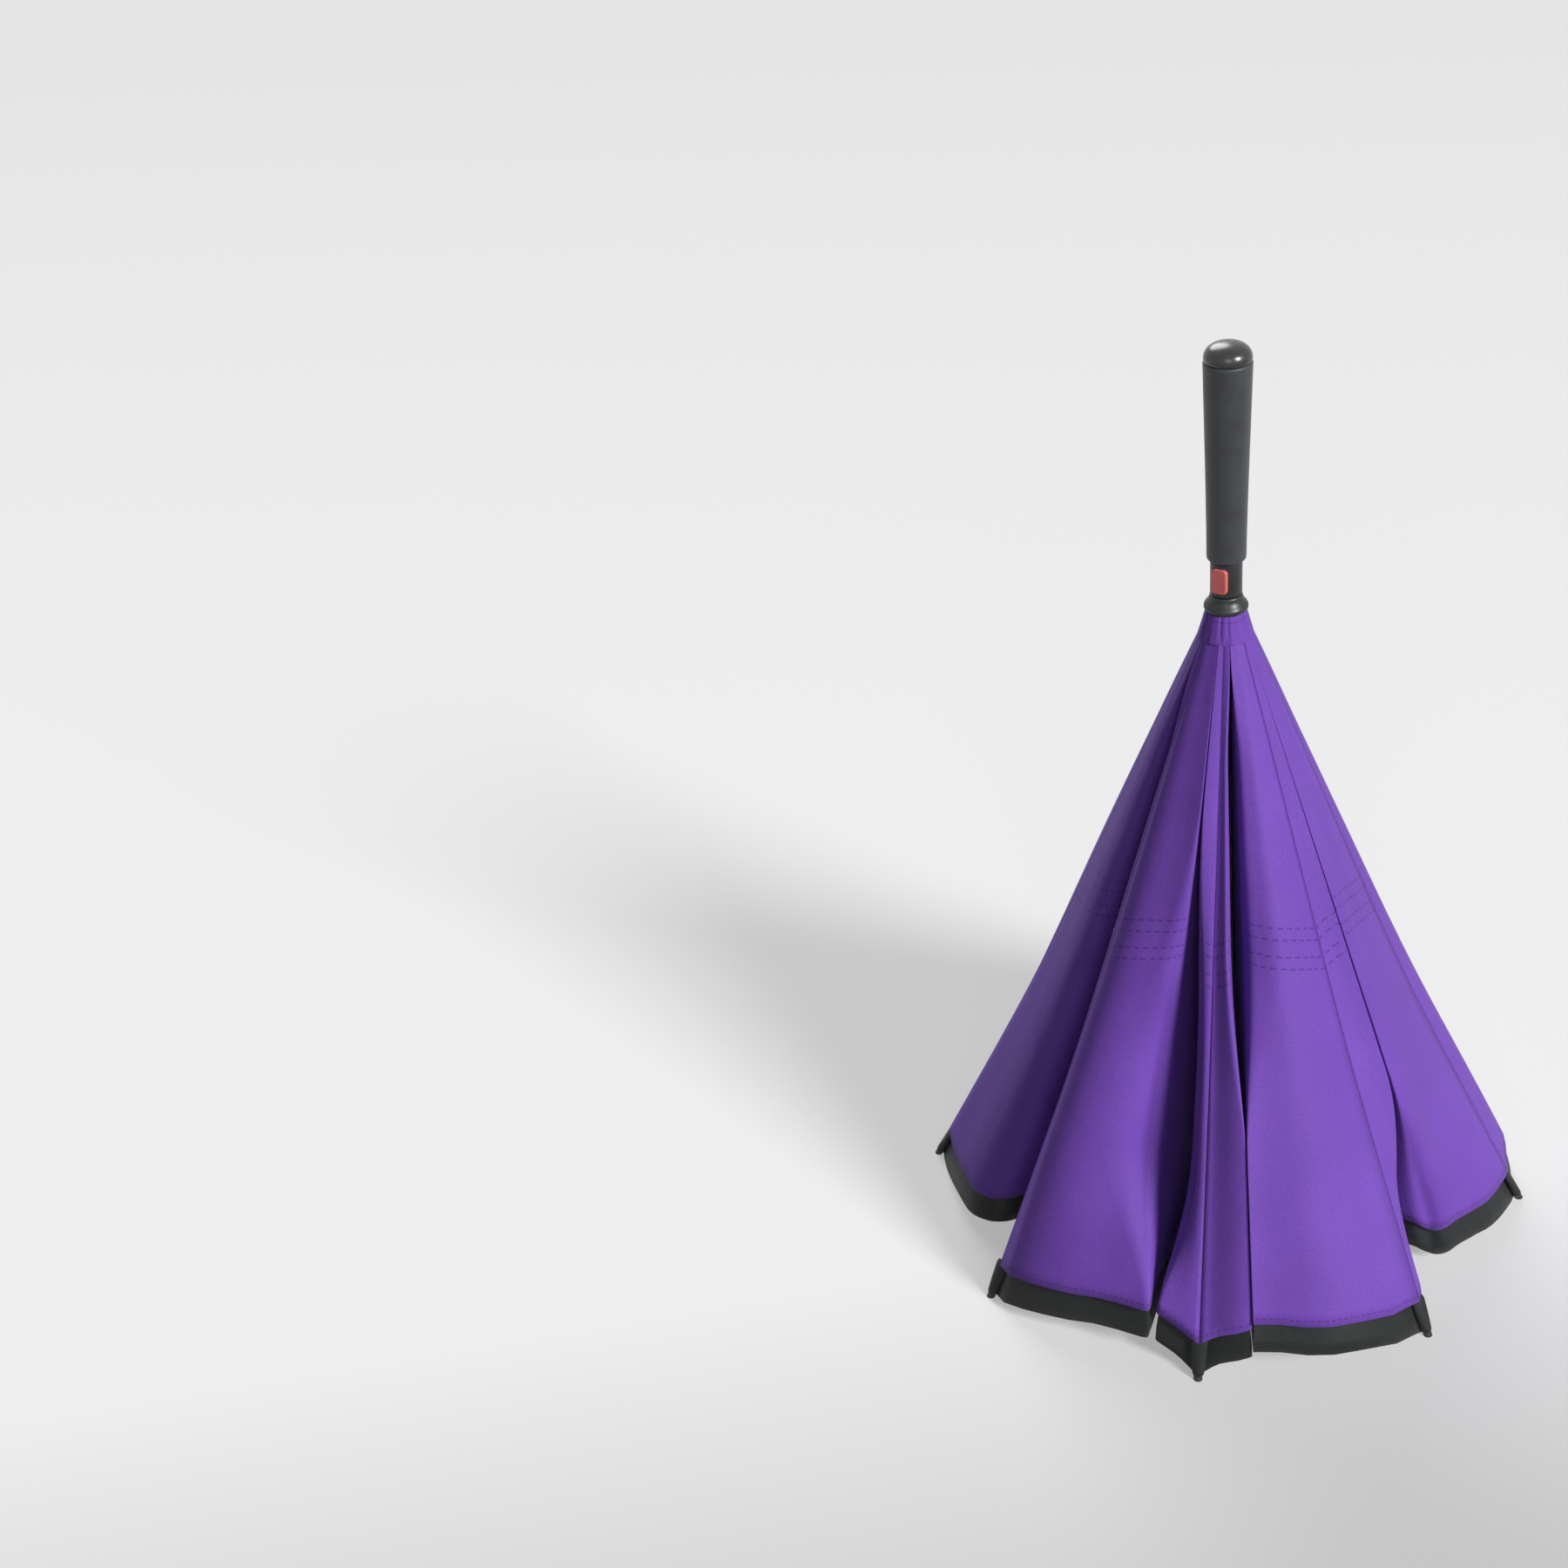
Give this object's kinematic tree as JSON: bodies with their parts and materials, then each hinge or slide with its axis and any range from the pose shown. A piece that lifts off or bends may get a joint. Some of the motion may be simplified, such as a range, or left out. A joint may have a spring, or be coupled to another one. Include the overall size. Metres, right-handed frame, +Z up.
{
  "type": "inverted umbrella",
  "caption": "Inverted umbrella with a straight grip, closed reverse-folding double canopy and sprung release button, standing on its rib tips.",
  "frame": {"origin": "on the floor under the shaft, with the closed umbrella standing on its rib tips and its handle up", "axes": "+Z up along the shaft towards the grip, -Y to the front, towards the viewer"},
  "size_m": [0.5018, 0.5018, 0.7694],
  "materials": {
    "grip_plastic": "satin charcoal",
    "end_cap_plastic": "smooth",
    "black_plastic": "smooth black",
    "button_plastic": "coral red",
    "shaft_metal": "anodised",
    "rib_fibre": "black fibre rod",
    "tip_plastic": "black",
    "stretcher_metal": "grey metal",
    "inner_canopy_cloth": "purple woven cloth",
    "outer_canopy_cloth": "black woven cloth"
  },
  "bodies": {
    "frame": {"handle_grip": "grip_plastic", "handle_end_cap": "end_cap_plastic", "neck_housing": "black_plastic", "shaft": "shaft_metal", "crown_hub": "black_plastic", "crown_cap": "black_plastic"},
    "button": {"release_button": "button_plastic"},
    "runner": {"runner": "black_plastic", "runner_collar": "black_plastic", "outer_canopy": "outer_canopy_cloth"},
    "rib_arm_1": {"rib_1": "rib_fibre", "rib_tip_1": "tip_plastic", "inner_canopy_panel_1": "inner_canopy_cloth"},
    "stretcher_arm_1": {"stretcher_1": "stretcher_metal"},
    "rib_arm_2": {"rib_2": "rib_fibre", "rib_tip_2": "tip_plastic", "inner_canopy_panel_2": "inner_canopy_cloth"},
    "stretcher_arm_2": {"stretcher_2": "stretcher_metal"},
    "rib_arm_3": {"rib_3": "rib_fibre", "rib_tip_3": "tip_plastic", "inner_canopy_panel_3": "inner_canopy_cloth"},
    "stretcher_arm_3": {"stretcher_3": "stretcher_metal"},
    "rib_arm_4": {"rib_4": "rib_fibre", "rib_tip_4": "tip_plastic", "inner_canopy_panel_4": "inner_canopy_cloth"},
    "stretcher_arm_4": {"stretcher_4": "stretcher_metal"},
    "rib_arm_5": {"rib_5": "rib_fibre", "rib_tip_5": "tip_plastic", "inner_canopy_panel_5": "inner_canopy_cloth"},
    "stretcher_arm_5": {"stretcher_5": "stretcher_metal"},
    "rib_arm_6": {"rib_6": "rib_fibre", "rib_tip_6": "tip_plastic", "inner_canopy_panel_6": "inner_canopy_cloth"},
    "stretcher_arm_6": {"stretcher_6": "stretcher_metal"},
    "rib_arm_7": {"rib_7": "rib_fibre", "rib_tip_7": "tip_plastic", "inner_canopy_panel_7": "inner_canopy_cloth"},
    "stretcher_arm_7": {"stretcher_7": "stretcher_metal"},
    "rib_arm_8": {"rib_8": "rib_fibre", "rib_tip_8": "tip_plastic", "inner_canopy_panel_8": "inner_canopy_cloth"},
    "stretcher_arm_8": {"stretcher_8": "stretcher_metal"},
    "fold_after_1": {"inner_canopy_fold_after_rib_1": "inner_canopy_cloth"},
    "fold_before_1": {"inner_canopy_fold_before_rib_1": "inner_canopy_cloth"},
    "fold_after_2": {"inner_canopy_fold_after_rib_2": "inner_canopy_cloth"},
    "fold_before_2": {"inner_canopy_fold_before_rib_2": "inner_canopy_cloth"},
    "fold_after_3": {"inner_canopy_fold_after_rib_3": "inner_canopy_cloth"},
    "fold_before_3": {"inner_canopy_fold_before_rib_3": "inner_canopy_cloth"},
    "fold_after_4": {"inner_canopy_fold_after_rib_4": "inner_canopy_cloth"},
    "fold_before_4": {"inner_canopy_fold_before_rib_4": "inner_canopy_cloth"},
    "fold_after_5": {"inner_canopy_fold_after_rib_5": "inner_canopy_cloth"},
    "fold_before_5": {"inner_canopy_fold_before_rib_5": "inner_canopy_cloth"},
    "fold_after_6": {"inner_canopy_fold_after_rib_6": "inner_canopy_cloth"},
    "fold_before_6": {"inner_canopy_fold_before_rib_6": "inner_canopy_cloth"},
    "fold_after_7": {"inner_canopy_fold_after_rib_7": "inner_canopy_cloth"},
    "fold_before_7": {"inner_canopy_fold_before_rib_7": "inner_canopy_cloth"},
    "fold_after_8": {"inner_canopy_fold_after_rib_8": "inner_canopy_cloth"},
    "fold_before_8": {"inner_canopy_fold_before_rib_8": "inner_canopy_cloth"}
  },
  "joints": [
    {"name": "runner_slide", "type": "slide", "parent": "frame", "child": "runner", "axis": [0, 0, -1], "range_m": [0, 0.45846], "deforming": ["outer_canopy"]},
    {"name": "button_press", "type": "slide", "parent": "frame", "child": "button", "axis": [0.4384, 0.8988, 0], "range_m": [0, 0.0012], "stiffness_N_per_m": 900, "springref_m": -0.0008},
    {"name": "rib_hinge_1", "type": "hinge", "parent": "runner", "child": "rib_arm_1", "pos_m": [-0.01147, 0.0008, 0.55004], "axis": [0.0698, 0.9976, 0], "range_deg": [0, 73.2], "deforming": ["inner_canopy_panel_1"]},
    {"name": "stretcher_hinge_1", "type": "hinge", "parent": "frame", "child": "stretcher_arm_1", "pos_m": [-0.01147, 0.0008, 0.05813], "axis": [-0.0698, -0.9976, 0], "range_deg": [0, 56.46]},
    {"name": "rib_hinge_2", "type": "hinge", "parent": "runner", "child": "rib_arm_2", "pos_m": [-0.00868, -0.00754, 0.55004], "axis": [-0.6561, 0.7547, 0], "range_deg": [0, 73.2], "deforming": ["inner_canopy_panel_2"]},
    {"name": "stretcher_hinge_2", "type": "hinge", "parent": "frame", "child": "stretcher_arm_2", "pos_m": [-0.00868, -0.00754, 0.05813], "axis": [0.6561, -0.7547, 0], "range_deg": [0, 56.46]},
    {"name": "rib_hinge_3", "type": "hinge", "parent": "runner", "child": "rib_arm_3", "pos_m": [-0.0008, -0.01147, 0.55004], "axis": [-0.9976, 0.0698, 0], "range_deg": [0, 73.2], "deforming": ["inner_canopy_panel_3"]},
    {"name": "stretcher_hinge_3", "type": "hinge", "parent": "frame", "child": "stretcher_arm_3", "pos_m": [-0.0008, -0.01147, 0.05813], "axis": [0.9976, -0.0698, 0], "range_deg": [0, 56.46]},
    {"name": "rib_hinge_4", "type": "hinge", "parent": "runner", "child": "rib_arm_4", "pos_m": [0.00754, -0.00868, 0.55004], "axis": [-0.7547, -0.6561, 0], "range_deg": [0, 73.2], "deforming": ["inner_canopy_panel_4"]},
    {"name": "stretcher_hinge_4", "type": "hinge", "parent": "frame", "child": "stretcher_arm_4", "pos_m": [0.00754, -0.00868, 0.05813], "axis": [0.7547, 0.6561, 0], "range_deg": [0, 56.46]},
    {"name": "rib_hinge_5", "type": "hinge", "parent": "runner", "child": "rib_arm_5", "pos_m": [0.01147, -0.0008, 0.55004], "axis": [-0.0698, -0.9976, 0], "range_deg": [0, 73.2], "deforming": ["inner_canopy_panel_5"]},
    {"name": "stretcher_hinge_5", "type": "hinge", "parent": "frame", "child": "stretcher_arm_5", "pos_m": [0.01147, -0.0008, 0.05813], "axis": [0.0698, 0.9976, 0], "range_deg": [0, 56.46]},
    {"name": "rib_hinge_6", "type": "hinge", "parent": "runner", "child": "rib_arm_6", "pos_m": [0.00868, 0.00754, 0.55004], "axis": [0.6561, -0.7547, 0], "range_deg": [0, 73.2], "deforming": ["inner_canopy_panel_6"]},
    {"name": "stretcher_hinge_6", "type": "hinge", "parent": "frame", "child": "stretcher_arm_6", "pos_m": [0.00868, 0.00754, 0.05813], "axis": [-0.6561, 0.7547, 0], "range_deg": [0, 56.46]},
    {"name": "rib_hinge_7", "type": "hinge", "parent": "runner", "child": "rib_arm_7", "pos_m": [0.0008, 0.01147, 0.55004], "axis": [0.9976, -0.0698, 0], "range_deg": [0, 73.2], "deforming": ["inner_canopy_panel_7"]},
    {"name": "stretcher_hinge_7", "type": "hinge", "parent": "frame", "child": "stretcher_arm_7", "pos_m": [0.0008, 0.01147, 0.05813], "axis": [-0.9976, 0.0698, 0], "range_deg": [0, 56.46]},
    {"name": "rib_hinge_8", "type": "hinge", "parent": "runner", "child": "rib_arm_8", "pos_m": [-0.00754, 0.00868, 0.55004], "axis": [0.7547, 0.6561, 0], "range_deg": [0, 73.2], "deforming": ["inner_canopy_panel_8"]},
    {"name": "stretcher_hinge_8", "type": "hinge", "parent": "frame", "child": "stretcher_arm_8", "pos_m": [-0.00754, 0.00868, 0.05813], "axis": [-0.7547, -0.6561, 0], "range_deg": [0, 56.46]},
    {"name": "fold_hinge_after_1", "type": "hinge", "parent": "rib_arm_1", "child": "fold_after_1", "pos_m": [-0.09097, -0.04965, 0.33955], "axis": [-0.3387, -0.1979, -0.9198], "range_deg": [0, 129.67], "deforming": ["inner_canopy_fold_after_rib_1"]},
    {"name": "fold_hinge_before_1", "type": "hinge", "parent": "rib_arm_1", "child": "fold_before_1", "pos_m": [-0.09535, 0.04165, 0.33955], "axis": [0.3562, -0.1646, 0.9198], "range_deg": [0, 110.18], "deforming": ["inner_canopy_fold_before_rib_1"]},
    {"name": "fold_hinge_after_2", "type": "hinge", "parent": "rib_arm_2", "child": "fold_after_2", "pos_m": [-0.02922, -0.09943, 0.33955], "axis": [-0.0996, -0.3795, -0.9198], "range_deg": [0, 129.67], "deforming": ["inner_canopy_fold_after_rib_2"]},
    {"name": "fold_hinge_before_2", "type": "hinge", "parent": "rib_arm_2", "child": "fold_before_2", "pos_m": [-0.08605, -0.05889, 0.33955], "axis": [0.3264, 0.2177, 0.9198], "range_deg": [0, 90.37], "deforming": ["inner_canopy_fold_before_rib_2"]},
    {"name": "fold_hinge_after_3", "type": "hinge", "parent": "rib_arm_3", "child": "fold_after_3", "pos_m": [0.00553, -0.10412, 0.33955], "axis": [0.0257, -0.3915, -0.9198], "range_deg": [0, 91.02], "deforming": ["inner_canopy_fold_after_rib_3"]},
    {"name": "fold_hinge_before_3", "type": "hinge", "parent": "rib_arm_3", "child": "fold_before_3", "pos_m": [-0.0192, -0.10249, 0.33955], "axis": [0.0769, 0.3847, 0.9198], "range_deg": [0, 90.37], "deforming": ["inner_canopy_fold_before_rib_3"]},
    {"name": "fold_hinge_after_4", "type": "hinge", "parent": "rib_arm_4", "child": "fold_after_4", "pos_m": [0.07806, -0.06912, 0.33955], "axis": [0.297, -0.2564, -0.9198], "range_deg": [0, 91.67], "deforming": ["inner_canopy_fold_after_rib_4"]},
    {"name": "fold_hinge_before_4", "type": "hinge", "parent": "rib_arm_4", "child": "fold_before_4", "pos_m": [0.01588, -0.10243, 0.33955], "axis": [-0.0488, 0.3893, 0.9198], "range_deg": [0, 129.04], "deforming": ["inner_canopy_fold_before_rib_4"]},
    {"name": "fold_hinge_after_5", "type": "hinge", "parent": "rib_arm_5", "child": "fold_after_5", "pos_m": [0.10022, 0.02798, 0.33955], "axis": [0.3756, 0.1134, -0.9198], "range_deg": [0, 110.18], "deforming": ["inner_canopy_fold_after_rib_5"]},
    {"name": "fold_hinge_before_5", "type": "hinge", "parent": "rib_arm_5", "child": "fold_before_5", "pos_m": [0.08413, -0.06057, 0.33955], "axis": [-0.3117, 0.2383, 0.9198], "range_deg": [0, 128.4], "deforming": ["inner_canopy_fold_before_rib_5"]},
    {"name": "fold_hinge_after_6", "type": "hinge", "parent": "rib_arm_6", "child": "fold_after_6", "pos_m": [0.0545, 0.0887, 0.33955], "axis": [0.1988, 0.3382, -0.9198], "range_deg": [0, 106.86], "deforming": ["inner_canopy_fold_after_rib_6"]},
    {"name": "fold_hinge_before_6", "type": "hinge", "parent": "rib_arm_6", "child": "fold_before_6", "pos_m": [0.09688, 0.03797, 0.33955], "axis": [-0.3682, -0.1355, 0.9198], "range_deg": [0, 110.18], "deforming": ["inner_canopy_fold_before_rib_6"]},
    {"name": "fold_hinge_after_7", "type": "hinge", "parent": "rib_arm_7", "child": "fold_after_7", "pos_m": [-0.03396, 0.09826, 0.33955], "axis": [-0.1368, 0.3677, -0.9198], "range_deg": [0, 115.46], "deforming": ["inner_canopy_fold_after_rib_7"]},
    {"name": "fold_hinge_before_7", "type": "hinge", "parent": "rib_arm_7", "child": "fold_before_7", "pos_m": [0.04521, 0.09366, 0.33955], "axis": [-0.1784, -0.3494, 0.9198], "range_deg": [0, 113.48], "deforming": ["inner_canopy_fold_before_rib_7"]},
    {"name": "fold_hinge_after_8", "type": "hinge", "parent": "rib_arm_8", "child": "fold_after_8", "pos_m": [-0.09065, 0.05108, 0.33955], "axis": [-0.3458, 0.1854, -0.9198], "range_deg": [0, 110.18], "deforming": ["inner_canopy_fold_after_rib_8"]},
    {"name": "fold_hinge_before_8", "type": "hinge", "parent": "rib_arm_8", "child": "fold_before_8", "pos_m": [-0.04379, 0.09448, 0.33955], "axis": [0.1583, -0.359, 0.9198], "range_deg": [0, 104.87], "deforming": ["inner_canopy_fold_before_rib_8"]}
  ],
  "couplings": [
    {"joint": "rib_hinge_1", "follows": "runner_slide", "rad_per_m": 2.7867},
    {"joint": "stretcher_hinge_1", "follows": "runner_slide", "rad_per_m": 2.1494},
    {"joint": "rib_hinge_2", "follows": "runner_slide", "rad_per_m": 2.7867},
    {"joint": "stretcher_hinge_2", "follows": "runner_slide", "rad_per_m": 2.1494},
    {"joint": "rib_hinge_3", "follows": "runner_slide", "rad_per_m": 2.7867},
    {"joint": "stretcher_hinge_3", "follows": "runner_slide", "rad_per_m": 2.1494},
    {"joint": "rib_hinge_4", "follows": "runner_slide", "rad_per_m": 2.7867},
    {"joint": "stretcher_hinge_4", "follows": "runner_slide", "rad_per_m": 2.1494},
    {"joint": "rib_hinge_5", "follows": "runner_slide", "rad_per_m": 2.7867},
    {"joint": "stretcher_hinge_5", "follows": "runner_slide", "rad_per_m": 2.1494},
    {"joint": "rib_hinge_6", "follows": "runner_slide", "rad_per_m": 2.7867},
    {"joint": "stretcher_hinge_6", "follows": "runner_slide", "rad_per_m": 2.1494},
    {"joint": "rib_hinge_7", "follows": "runner_slide", "rad_per_m": 2.7867},
    {"joint": "stretcher_hinge_7", "follows": "runner_slide", "rad_per_m": 2.1494},
    {"joint": "rib_hinge_8", "follows": "runner_slide", "rad_per_m": 2.7867},
    {"joint": "stretcher_hinge_8", "follows": "runner_slide", "rad_per_m": 2.1494},
    {"joint": "fold_hinge_after_1", "follows": "runner_slide", "rad_per_m": 4.9363},
    {"joint": "fold_hinge_before_1", "follows": "runner_slide", "rad_per_m": 4.1943},
    {"joint": "fold_hinge_after_2", "follows": "runner_slide", "rad_per_m": 4.9363},
    {"joint": "fold_hinge_before_2", "follows": "runner_slide", "rad_per_m": 3.4402},
    {"joint": "fold_hinge_after_3", "follows": "runner_slide", "rad_per_m": 3.465},
    {"joint": "fold_hinge_before_3", "follows": "runner_slide", "rad_per_m": 3.4402},
    {"joint": "fold_hinge_after_4", "follows": "runner_slide", "rad_per_m": 3.4898},
    {"joint": "fold_hinge_before_4", "follows": "runner_slide", "rad_per_m": 4.9123},
    {"joint": "fold_hinge_after_5", "follows": "runner_slide", "rad_per_m": 4.1943},
    {"joint": "fold_hinge_before_5", "follows": "runner_slide", "rad_per_m": 4.8882},
    {"joint": "fold_hinge_after_6", "follows": "runner_slide", "rad_per_m": 4.0681},
    {"joint": "fold_hinge_before_6", "follows": "runner_slide", "rad_per_m": 4.1943},
    {"joint": "fold_hinge_after_7", "follows": "runner_slide", "rad_per_m": 4.3955},
    {"joint": "fold_hinge_before_7", "follows": "runner_slide", "rad_per_m": 4.3202},
    {"joint": "fold_hinge_after_8", "follows": "runner_slide", "rad_per_m": 4.1943},
    {"joint": "fold_hinge_before_8", "follows": "runner_slide", "rad_per_m": 3.9923}
  ]
}
